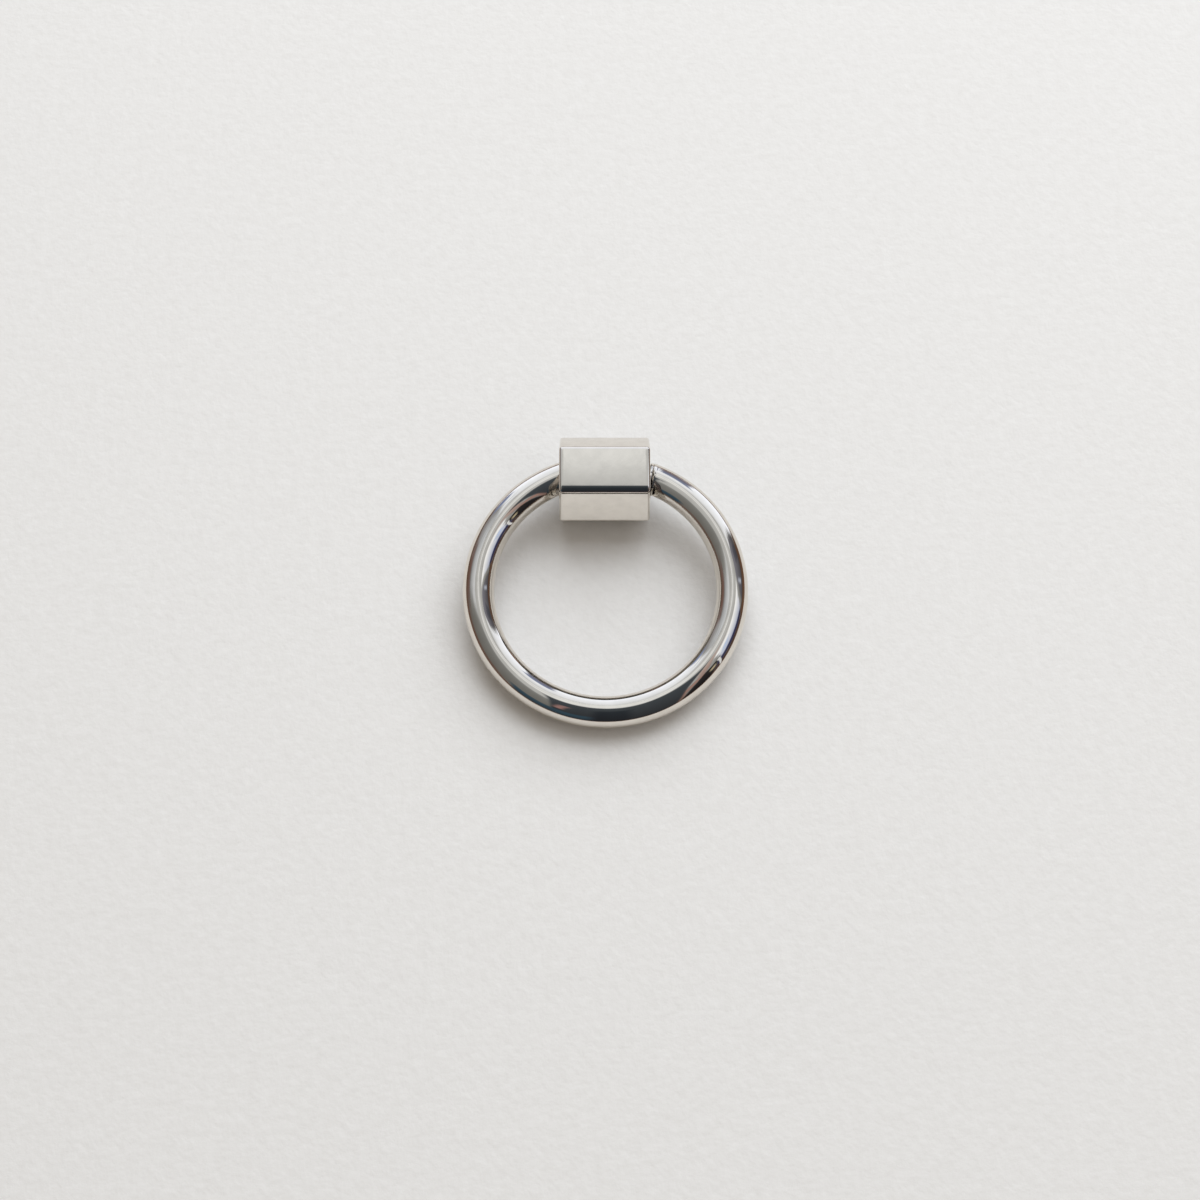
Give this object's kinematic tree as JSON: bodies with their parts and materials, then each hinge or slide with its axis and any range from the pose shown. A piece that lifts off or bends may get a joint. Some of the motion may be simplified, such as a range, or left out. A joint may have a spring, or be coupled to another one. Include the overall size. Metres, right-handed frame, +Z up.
{
  "type": "screw-lock ring clasp",
  "caption": "Round-wire ring clasp whose gap is closed by a hexagonal screw sleeve. Unscrewed, the sleeve slides round the ring and opens it to take a chain, strap loop or key.",
  "frame": {"origin": "on the surface that the clasp lies on, under the middle of its box", "axes": "+Z up from that surface; +Y from the ring's far side towards the sleeve; +X from the threaded end of the sleeve towards its open end"},
  "size_m": [0.027, 0.0286, 0.0079],
  "materials": {
    "plated_wire": "mirror-bright white plating on drawn round wire",
    "plated_thread": "bright white plating, slightly dulled on the thread",
    "plated_sleeve": "bright white plating on polished flats with soft edges"
  },
  "bodies": {
    "ring": {"ring_wire": "plated_wire", "threaded_plug": "plated_thread", "guide_pin": "plated_wire"},
    "sleeve": {"hex_sleeve": "plated_sleeve"}
  },
  "joints": [
    {"name": "sleeve_travel", "type": "hinge", "parent": "ring", "child": "sleeve", "pos_m": [0, -0.00087, 0.00278], "axis": [0, 0.107, -0.9943], "range_deg": [0, 304]}
  ]
}
